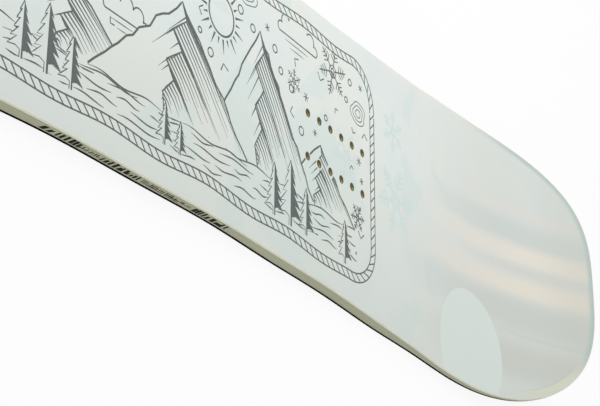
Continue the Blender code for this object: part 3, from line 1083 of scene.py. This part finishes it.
class Drawing:
    """Strokes of ink on the film, drawn in the board's own x and y."""

    def __init__(self, low, high):
        self.low = low
        self.high = high
        self.margin = EDGE_MARGIN
        self.masks = []
        self.points = []
        self.faces = []
        self.count = 0

    def hide_behind(self, polygon):
        """What is drawn after this stays out of the polygon."""
        us = [u for u, v in polygon]
        vs = [v for u, v in polygon]
        self.masks.append((min(us), max(us), min(vs), max(vs), polygon))

    def shows(self, u, v):
        if abs(v) > half_width(u) - self.margin:
            return False
        for x, y in HOLES:
            if hypot(u - x, v - y) < DRILLED_HOLE_DIAMETER / 2 + HOLE_MARGIN:
                return False
        for u0, u1, v0, v1, polygon in self.masks:
            if u0 < u < u1 and v0 < v < v1 and inside(u, v, polygon):
                return False
        return True

    def stroke(self, line, width, taper=0, closed=False):
        """Taper 1 narrows both ends, and taper 2 only the far one."""
        if closed:
            line = list(line) + [line[0]]
        traced = trace(line)
        run = []
        runs = []
        for point in traced:
            if self.shows(*point):
                run.append(point)
            else:
                runs.append(run)
                run = []
        runs.append(run)
        for run in runs:
            if len(run) > 1:
                self.ribbon(thinned(run), width, taper)

    def ribbon(self, line, width, taper):
        """A thin closed strip of ink along a line."""
        lengths = [0.0]
        for before, after in zip(line, line[1:]):
            lengths.append(lengths[-1] + dist(before, after))
        total = lengths[-1]
        if total < width:
            return
        rise = INK_STEP * (self.count % INK_STEPS)
        self.count += 1
        start = len(self.points)
        for number, (u, v) in enumerate(line):
            before = line[max(number - 1, 0)]
            after = line[min(number + 1, len(line) - 1)]
            nu, nv = left_of(before, after)
            half = width / 2
            share = lengths[number] / total
            if taper == 1:
                half *= 0.25 + 0.75 * min(1.0, 4 * share, 4 * (1 - share))
            elif taper == 2:
                half *= 1 - 0.85 * share
            for reach in (half, -half):
                place_u = u + reach * nu
                place_v = v + reach * nv
                ground = film_height(place_u)
                self.points.append((place_u, place_v, ground + self.low))
                self.points.append((place_u, place_v, ground + self.high + rise))
        count = len(line)
        for number in range(count - 1):
            a = start + 4 * number
            b = a + 4
            self.faces += [(a + 1, a + 3, b + 3, b + 1), (a, b, b + 2, a + 2),
                           (a, a + 1, b + 1, b), (a + 3, a + 2, b + 2, b + 3)]
        end = start + 4 * (count - 1)
        self.faces += [(start, start + 2, start + 3, start + 1), (end, end + 1, end + 3, end + 2)]

    def patch(self, outline):
        """A small filled shape."""
        if not all(self.shows(u, v) for u, v in outline):
            return
        start = len(self.points)
        count = len(outline)
        for height in (self.low, self.high):
            for u, v in outline:
                self.points.append((u, v, film_height(u) + height))
        self.faces.append(tuple(range(start + count, start + 2 * count)))
        self.faces.append(tuple(range(start + count - 1, start - 1, -1)))
        self.faces += ring_faces(start, count)

    def piece(self, name, material):
        made = add_piece(name, self.points, self.faces, [material])
        settle(made, "topsheet")
        return made


HOLES = insert_places()


def inside(u, v, polygon):
    within = False
    previous = polygon[-1]
    for corner in polygon:
        if (corner[1] > v) != (previous[1] > v):
            crossing = corner[0] + (previous[0] - corner[0]) * (v - corner[1]) / (previous[1] - corner[1])
            if u < crossing:
                within = not within
        previous = corner
    return within


def trace(line):
    """The line with points no further apart than the trace step."""
    made = [line[0]]
    for before, after in zip(line, line[1:]):
        steps = max(1, int(dist(before, after) / TRACE_STEP))
        for step in range(1, steps + 1):
            made.append(blend(before, after, step / steps))
    return made


def thinned(line):
    """The line without the points that its shape doesn't need."""
    kept = [line[0]]
    for number in range(1, len(line) - 1):
        du = line[number][0] - kept[-1][0]
        dv = line[number][1] - kept[-1][1]
        ahead_u = line[number + 1][0] - line[number][0]
        ahead_v = line[number + 1][1] - line[number][1]
        long = hypot(du, dv) * hypot(ahead_u, ahead_v)
        turn = abs(du * ahead_v - dv * ahead_u) / long if long else 0.0
        if turn > sin(TURN_LIMIT) or hypot(du, dv) > STRAIGHT_LIMIT:
            kept.append(line[number])
    return kept + [line[-1]]


def point_at(u, v, angle, reach):
    """The point this far off in this direction."""
    return u + reach * cos(angle), v + reach * sin(angle)


def left_of(before, after):
    """The unit direction square to the way from one point to another, on its left."""
    long = dist(before, after) or 1.0
    return (before[1] - after[1]) / long, (after[0] - before[0]) / long


def circle(u, v, radius, sides=40, start=0.0, sweep=2 * pi):
    count = sides if sweep >= 2 * pi else sides + 1
    return [point_at(u, v, start + sweep * n / sides, radius) for n in range(count)]


def blend(first, second, share):
    return (first[0] + (second[0] - first[0]) * share, first[1] + (second[1] - first[1]) * share)


def jagged(first, second, size, rng, rough=0.10):
    """A rocky line between two points."""
    count = max(2, int(dist(first, second) / size))
    side_u, side_v = left_of(first, second)
    line = [first]
    for number in range(1, count):
        u, v = blend(first, second, (number + rng.uniform(-0.25, 0.25)) / count)
        push = rng.uniform(-1, 1) * rough * size * 2
        line.append((u + side_u * push, v + side_v * push))
    return line + [second]


def mountain(art, left, summit, right, seed, gap=0.0034):
    """A peak: rocky outline, a zigzag ridge and wedges of shade that run down from it."""
    rng = random.Random(seed)
    foot = blend(left, right, 0.44)
    left_slope = jagged(left, summit, 0.011, rng)
    right_slope = jagged(summit, right, 0.011, rng)
    wide = right[0] - left[0]
    ridge = [summit]
    for number in range(1, 7):
        u, v = blend(summit, foot, number / 7)
        ridge.append((u + (0.045 if number % 2 else -0.035) * wide * rng.uniform(0.6, 1.1), v))
    ridge.append(foot)
    art.stroke(left_slope + right_slope[1:], BOLD)
    art.stroke(ridge, MEDIUM)
    art.stroke(wave_line(left[0], right[0], left[1] - 0.001, 0.0016, wide / 0.055), MEDIUM, 1)
    fall = (summit[1] - right[1]) / (summit[0] - right[0])
    rise = (summit[1] - left[1]) / (summit[0] - left[0])
    gone = 0.0
    points = trace(ridge)
    count = 0
    for before, here in zip(points, points[1:]):
        gone += dist(before, here)
        if gone < gap:
            continue
        gone = 0.0
        count += 1
        drop = (here[1] - foot[1]) * rng.uniform(0.55, 0.96)
        end = (here[0] - drop / fall, here[1] - drop)
        middle = blend(here, end, 0.5)
        art.stroke([here, (middle[0] + 0.001, middle[1] + 0.001), end], BOLD, taper=2)
        if count % 3 == 0:
            drop = (here[1] - foot[1]) * rng.uniform(0.15, 0.40)
            art.stroke([here, (here[0] - drop / rise, here[1] - drop)], MEDIUM, taper=2)
    art.hide_behind([left] + left_slope[1:] + right_slope[1:])


def drifts(art, start, end, base, rows, seed):
    """Snow drifts: short wavy lines, row under row."""
    rng = random.Random(seed)
    for row in range(rows):
        u = start + rng.uniform(0, 0.02)
        while u < end:
            long = rng.uniform(0.022, 0.055)
            level = base - DRIFT_ROW * row
            line = wave_line(u, min(u + long, end), level, DRIFT_HEIGHT, 1.0, rng.uniform(0, 6))
            art.stroke(line, MEDIUM, taper=1)
            u += long + rng.uniform(0.004, 0.016)
    low = base - DRIFT_ROW * rows
    art.hide_behind([(start, low), (end, low), (end, base + 0.002), (start, base + 0.002)])


def pine(art, u, v, size, seed):
    """A fir: one half open and one half filled in."""
    rng = random.Random(seed)
    for side in (-1, 1):
        edge = [(u, v + size)]
        for tier in range(5):
            low = v + size * (0.80 - 0.165 * tier)
            reach = size * (0.10 + 0.055 * tier) * rng.uniform(0.9, 1.1)
            edge += [(u + side * reach, low), (u + side * reach * 0.45, low + size * 0.035)]
        edge.append((u + side * size * 0.04, v + size * 0.14))
        edge.append((u + side * size * 0.04, v))
        if side > 0:
            art.patch(edge + [(u, v)])
            right = edge
        else:
            art.stroke(edge, FINE)
            left = edge
    art.hide_behind(left + right[::-1])


def cloud(art, u, v, wide, high, puffs):
    """A scalloped cloud on a level base, with two lines of drift under it."""
    half = wide / 2
    heads = [pi - pi * number / puffs for number in range(puffs + 1)]
    joints = [(u + half * cos(head), v + high * sin(head)) for head in heads]
    top = []
    for first, last in zip(joints, joints[1:]):
        middle = blend(first, last, 0.5)
        heading = atan2(first[1] - middle[1], first[0] - middle[0])
        top += circle(*middle, dist(first, last) / 2, PUFF_SIDES, heading, -pi)
    art.stroke(top, MEDIUM)
    art.stroke([(u - half, v), (u + half, v)], MEDIUM)
    for row, share in ((1, 0.36), (2, 0.22)):
        low = v - CLOUD_ROW * row
        art.stroke([(u - wide * share, low), (u + wide * share * 0.8, low)], FINE, taper=1)
    art.hide_behind(top)


def crystal(art, u, v, radius, width, turn=0.0, barbs=3):
    """A six-armed snow crystal."""
    thinner = width * 0.85
    for arm in range(6):
        angle = turn + pi / 3 * arm
        art.stroke([point_at(u, v, angle, radius * CRYSTAL_HUB), point_at(u, v, angle, radius)], width)
        for barb in range(barbs):
            root = point_at(u, v, angle, radius * (0.45 + 0.5 * barb / barbs))
            reach = radius * 0.30 * (1 - 0.22 * barb)
            for side in (1, -1):
                art.stroke([root, point_at(*root, angle + side * pi / 3, reach)], thinner)
    art.stroke(circle(u, v, radius * CRYSTAL_HUB, 6, turn), width, closed=True)
    art.stroke(circle(u, v, radius * CRYSTAL_RING, 6, turn), thinner, closed=True)


def contours(art, u, v, radius, count, gap, seed, width=MEDIUM):
    """Height lines of a rounded hill, each drawn out alike."""
    rng = random.Random(seed)
    waves = [(k, rng.uniform(0.03, 0.11) / k * 2, rng.uniform(0, 2 * pi)) for k in (2, 3, 4, 5)]
    for number in range(count):
        size = radius - gap * number
        if size <= 0:
            break
        line = []
        for step in range(72):
            angle = 2 * pi * step / 72
            r = size * (1 + sum(a * cos(k * angle + p) for k, a, p in waves))
            line.append((u + r * 1.25 * cos(angle), v + r * sin(angle)))
        art.stroke(line, width, closed=True)
        if number == 0:
            outer = line
    art.hide_behind(outer)


def sun(art, u, v, radius, rays):
    """A ring with long and short wedges for rays."""
    art.stroke(circle(u, v, radius), BOLD, closed=True)
    for ray in range(rays):
        angle = 2 * pi * ray / rays
        end = point_at(u, v, angle, radius * RAY_ENDS[ray % 2])
        art.stroke([point_at(u, v, angle, radius * RAY_START), end], RAY_WIDTH, taper=2)
    art.hide_behind(circle(u, v, radius * 1.1))


def rope(art, line, width, pitch=ROPE_PITCH):
    """A twisted rope along a line: two sides and slanted turns between them."""
    traced = trace(line)
    sides = ([], [])
    turns = []
    gone = 0.0
    for before, (u, v), after in zip(traced, traced[1:], traced[2:]):
        nu, nv = left_of(before, after)
        for side, sign in zip(sides, (1, -1)):
            side.append((u + nu * sign * width / 2, v + nv * sign * width / 2))
        gone += dist(before, after) / 2
        if gone > pitch:
            gone = 0.0
            turns.append([
                (u + nv * along * pitch + nu * aside * width, v - nu * along * pitch + nv * aside * width)
                for along, aside in ROPE_TURN
            ])
    for part in list(sides) + turns:
        art.stroke(part, MEDIUM)
    art.hide_behind(sides[0] + sides[1][::-1])


def scattered(art, count, low, high, seed):
    """Small rings, chevrons and six-armed stars, kept apart from each other and from the rest."""
    rng = random.Random(seed)
    placed = []
    tries = 0
    while len(placed) < count and tries < SCATTER_TRIES:
        tries += 1
        u = rng.uniform(low, high)
        reach = half_width(u) - SCATTER_MARGIN
        v = rng.uniform(-reach, reach)
        size = rng.uniform(0.0034, 0.0056)
        clear = all(hypot(u - a, v - b) > SCATTER_SPACING for a, b in placed)
        if not clear or not all(art.shows(*p) for p in circle(u, v, size * 1.7, 8)):
            continue
        placed.append((u, v))
        kind = len(placed) % 3
        turn = rng.uniform(0, pi)
        if kind == 0:
            art.stroke(circle(u, v, size * 0.7, 16), MEDIUM, closed=True)
        elif kind == 1:
            art.stroke(circle(u, v, size, 2, turn, pi), MEDIUM)
        else:
            for third in range(3):
                angle = turn + pi / 3 * third
                art.stroke([point_at(u, v, angle, -size), point_at(u, v, angle, size)], FINE)


def wave_line(low_u, high_u, middle, height, waves, phase=0.0):
    count = 60
    return [
        (low_u + (high_u - low_u) * n / count,
         middle + height * sin(phase + 2 * pi * waves * n / count))
        for n in range(count + 1)
    ]


def rope_line():
    """A long loop round the drawing, with rounded corners and a slight sway."""
    low, high = ROPE_ENDS
    corners = []
    straight = []
    count = 80
    for step in range(count + 1):
        x = low + ROPE_CORNER + (high - low - 2 * ROPE_CORNER) * step / count
        straight.append((x, half_width(x) - ROPE_INSET))
    for end, turn in ((high, 0.0), (low, pi / 2)):
        middle = end - ROPE_CORNER if turn == 0 else end + ROPE_CORNER
        reach = half_width(middle) - ROPE_INSET - ROPE_CORNER
        for step in range(13):
            angle = turn + pi / 2 * step / 12
            corners.append((middle + ROPE_CORNER * cos(angle), reach + ROPE_CORNER * sin(angle)))
    upper = corners[:13] + straight[-2:0:-1] + corners[13:]
    loop = upper + [(x, -y) for x, y in reversed(upper)]
    loop.append(loop[0])
    gone = 0.0
    swayed = []
    for before, (x, y) in zip(loop[:1] + loop, loop):
        gone += dist(before, (x, y))
        swayed.append((x, y + ROPE_SWAY * sin(gone / ROPE_SWAY_REACH)))
    swayed[-1] = swayed[0]
    return swayed


def draw_line_art():
    art = Drawing(low=0.000016, high=0.000034)
    rope(art, rope_line(), ROPE_WIDTH)
    art.margin = ROPE_INSET + ROPE_WIDTH / 2 + 0.001
    # Front field: a range of peaks with their feet towards the near side
    for u, v, size, seed in (
        (-0.112, -0.088, 0.052, 1), (-0.086, -0.089, 0.040, 2), (-0.137, -0.088, 0.042, 3),
        (0.176, -0.091, 0.046, 4), (0.202, -0.092, 0.058, 5), (0.228, -0.092, 0.042, 6),
        (0.022, -0.088, 0.034, 7), (0.042, -0.089, 0.027, 8), (0.296, -0.096, 0.040, 9),
    ):
        pine(art, u, v, size, seed)
    mountain(art, (-0.070, -0.062), (0.038, 0.036), (0.134, -0.060), 11)
    mountain(art, (0.078, -0.060), (0.150, 0.062), (0.240, -0.058), 12)
    mountain(art, (-0.176, -0.064), (-0.088, -0.008), (-0.012, -0.062), 13)
    mountain(art, (0.186, -0.060), (0.252, -0.002), (0.314, -0.060), 14)
    drifts(art, -0.164, 0.318, -0.067, 4, 15)
    sun(art, 0.092, 0.050, 0.018, 22)
    cloud(art, 0.212, 0.078, 0.062, 0.017, 6)
    cloud(art, -0.030, -0.012, 0.050, 0.013, 5)
    crystal(art, 0.274, 0.078, 0.025, MEDIUM, turn=0.3)
    crystal(art, 0.320, -0.046, 0.013, MEDIUM, turn=0.1, barbs=2)
    crystal(art, 0.206, 0.040, 0.012, FINE, turn=0.5, barbs=2)
    contours(art, 0.322, 0.056, 0.011, 3, 0.0036, 21, FINE)
    contours(art, 0.128, 0.088, 0.012, 3, 0.0040, 22, FINE)
    # Rear field
    for u, v, size, seed in (
        (-0.200, -0.090, 0.052, 31), (-0.226, -0.091, 0.040, 32), (-0.420, -0.094, 0.050, 34),
        (-0.396, -0.095, 0.040, 35),
    ):
        pine(art, u, v, size, seed)
    mountain(art, (-0.330, -0.064), (-0.240, 0.040), (-0.165, -0.062), 41)
    mountain(art, (-0.440, -0.066), (-0.350, 0.056), (-0.262, -0.064), 42)
    drifts(art, -0.440, -0.170, -0.070, 4, 43)
    sun(art, -0.400, 0.066, 0.019, 22)
    cloud(art, -0.245, 0.076, 0.062, 0.017, 6)
    crystal(art, -0.180, 0.020, 0.026, MEDIUM, turn=0.2)
    scattered(art, 60, -0.150, 0.335, 51)
    scattered(art, 40, -0.455, -0.150, 52)
    return art.piece("line_drawing", INK)


def draw_ghosts():
    """Faint wide shapes under the drawing."""
    art = Drawing(low=0.000004, high=0.000016)
    for u, v, radius, turn in (
        (0.398, -0.004, 0.036, 0.2), (0.394, 0.066, 0.022, 0.5), (0.300, 0.004, 0.028, 0.1),
        (-0.300, 0.000, 0.060, 0.3), (-0.520, 0.010, 0.034, 0.2),
    ):
        crystal(art, u, v, radius, radius * 0.085, turn)
    return art.piece("faint_shapes", GHOST_INK)


# Plain marks printed on the sidewalls, at the waist: (start, end, pitch, width, low, high, slant)
SIDE_MARKS = (
    (-0.108, -0.094, 0.0062, 0.0056, 0.04, 0.70, 0.0030),
    (-0.092, -0.070, 0.0042, 0.0036, 0.02, 0.94, 0.0012),
    (-0.067, -0.046, 0.0022, 0.0015, 0.16, 0.66, 0.0004),
    (-0.044, -0.022, 0.0045, 0.0034, 0.04, 0.96, 0.0016),
    (-0.021, 0.000, 0.0036, 0.0031, 0.08, 0.86, 0.0006),
    (0.003, 0.030, 0.0020, 0.0014, 0.10, 0.80, 0.0004),
    (0.032, 0.048, 0.0024, 0.0017, 0.08, 0.74, 0.0004),
    (0.051, 0.064, 0.0021, 0.0013, 0.20, 0.64, 0.0003),
    (0.067, 0.088, 0.0044, 0.0038, 0.02, 0.94, 0.0020),
    (0.091, 0.102, 0.0052, 0.0045, 0.06, 0.84, 0.0012),
    (0.105, 0.112, 0.0048, 0.0036, 0.16, 0.90, 0.0010),
)
MARK_DEPTHS = (-0.00001, 0.00003)


def side_marks(side_name, side):
    """Rows of slanted bars of uneven width."""
    rng = random.Random(61)
    points = []
    faces = []
    for start, end, pitch, thick, low_share, high_share, slant in SIDE_MARKS:
        x0 = start
        while x0 < end:
            width = thick * rng.uniform(0.55, 1.15)
            trim = rng.choice((0.0, 0.0, 0.12, 0.30))
            corners = []
            for share, shift in ((low_share, 0.0), (high_share - trim, slant)):
                height = CORE_BOTTOM + core_thickness(x0) * share
                corners.append((x0 + shift, height))
                corners.append((x0 + shift + width, height))
            base = len(points)
            for depth in MARK_DEPTHS:
                for x, height in (corners[0], corners[1], corners[3], corners[2]):
                    y = sidecut_width(x) - lean(x, height) - SKIN + depth
                    points.append((x, side * y, base_height(x) + height))
            faces += [(base, base + 1, base + 2, base + 3), (base + 4, base + 7, base + 6, base + 5)]
            faces += ring_faces(base, 4)
            x0 += pitch * rng.uniform(0.85, 1.2)
    made = add_piece("side_marks_" + side_name, points, faces, [SIDE_INK])
    settle(made, "sidewall")


# Studio: lamps as (name, place, target, size, watts)
LAMPS = (
    ("key", (0.20, 0.95, 0.85), (0.25, 0.0, 0.0), 1.7, 12.0),
    ("fill", (-0.9, -1.1, 1.2), (0.1, 0.0, 0.0), 1.2, 4.0),
)
WORLD_STRENGTH = 0.50
FLOOR_GLOW = 0.90
FLOOR_REACH = 8.0
FLOOR_DROP = 0.0003


def plainly_seen(tree):
    """1 on what the camera sees, also in a reflection or through a clear piece, and 0 on the rest."""
    rays = tree.nodes.new("ShaderNodeLightPath").outputs
    seen = rays["Is Camera Ray"]
    for kind in ("Is Glossy Ray", "Is Transmission Ray"):
        either = tree.nodes.new("ShaderNodeMath")
        either.operation = "MAXIMUM"
        tree.links.new(seen, either.inputs[0])
        tree.links.new(rays[kind], either.inputs[1])
        seen = either.outputs[0]
    return seen


def make_floor():
    mesh = bpy.data.meshes.new("studio_floor")
    corners = [(x * FLOOR_REACH, y * FLOOR_REACH, 0) for x, y in ((-1, -1), (1, -1), (1, 1), (-1, 1))]
    mesh.from_pydata(corners, [], [(0, 1, 2, 3)])
    floor_object = add_object("studio_floor", mesh)
    floor_object.location.z = -FLOOR_DROP
    f = Finish("studio floor")
    f.colour(f.ramp(f.noise(2.0), (0.0, srgb(250, 250, 249)), (1.0, srgb(255, 255, 255))))
    f.set(Roughness=0.9, Specular_IOR_Level=0.0)
    glow_share = f.math("MULTIPLY", plainly_seen(f.tree), FLOOR_GLOW)
    glow = f.add("ShaderNodeEmission")
    mixed = f.add("ShaderNodeMixShader")
    for socket, source in zip(mixed.inputs, (glow_share, f.shader.outputs[0], glow.outputs[0])):
        f.put(source, socket)
    f.feed(f.tree.nodes["Material Output"], Surface=mixed.outputs[0])
    mesh.materials.append(f.material)


def make_lamp(name, place, target, size, power):
    data = bpy.data.lights.new(name, "AREA")
    data.shape = "DISK"
    data.size = size
    data.energy = power
    lamp = add_object(name, data)
    lamp.location = place
    lamp.rotation_mode = "QUATERNION"
    lamp.rotation_quaternion = (Vector(target) - Vector(place)).to_track_quat("-Z", "Y")


def make_world():
    world = bpy.data.worlds.new("studio")
    bpy.context.scene.world = world
    world.use_nodes = True
    tree = world.node_tree
    background = tree.nodes["Background"]
    background.inputs["Color"].default_value = (1.0, 1.0, 1.0, 1.0)
    level = tree.nodes.new("ShaderNodeMapRange")
    level.inputs["To Min"].default_value = WORLD_STRENGTH
    tree.links.new(plainly_seen(tree), level.inputs["Value"])
    tree.links.new(level.outputs["Result"], background.inputs["Strength"])


# The camera, as solved from the twelve insert holes and the outline
CAMERA_PLACE = (-0.81056, -0.53097, 0.61643)
CAMERA_TARGET = (0.35, -0.00697, -0.06557)
CAMERA_ROLL = radians(78.336)
CAMERA_LENS = 92.765
SENSOR_WIDTH = 36.0


def make_camera():
    data = bpy.data.cameras.new("camera")
    data.lens = CAMERA_LENS
    data.sensor_width = SENSOR_WIDTH
    data.clip_start = 0.05
    data.clip_end = 50.0
    camera = add_object("camera", data)
    level = (Vector(CAMERA_TARGET) - Vector(CAMERA_PLACE)).to_track_quat("-Z", "Y").to_matrix()
    turn = level.to_4x4() @ Matrix.Rotation(CAMERA_ROLL, 4, "Z")
    camera.matrix_world = Matrix.Translation(CAMERA_PLACE) @ turn
    bpy.context.scene.camera = camera


make_camera()
make_floor()
make_world()
for lamp in LAMPS:
    make_lamp(*lamp)
bpy.context.scene.view_settings.view_transform = "Standard"

settle(make_topsheet(), "topsheet", "topsheet")
settle(make_top_laminate(), "laminate", "top_laminate")
settle(make_bottom_laminate(), "laminate", "bottom_laminate")
settle(make_base(), "base", "base_sheet")
for side_name, side in (("left", 1), ("right", -1)):
    edge = side_strip("ground_edge_" + side_name, side, edge_profile, [STEEL], OUTLINE, True)
    settle(edge, "edge", "steel_edge_" + side_name)
    foil = side_strip("damping_strip_" + side_name, side, foil_profile, [RUBBER], OUTLINE, True)
    settle(foil, "foil", "damping_foil_" + side_name)
    settle(make_sidewall(side_name, side), "sidewall", "sidewall_" + side_name)
    side_marks(side_name, side)
settle(make_spacer("moulded_tip_spacer", 1), "spacer", "tip_spacer")
settle(make_spacer("moulded_tail_spacer", -1), "spacer", "tail_spacer")
make_inserts()
draw_line_art()
draw_ghosts()

for name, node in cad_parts.items():
    if name.startswith("core_strip"):
        wood = BEECH if int(name[-1]) % 2 else POPLAR
        node.data.materials.clear()
        node.data.materials.append(wood)
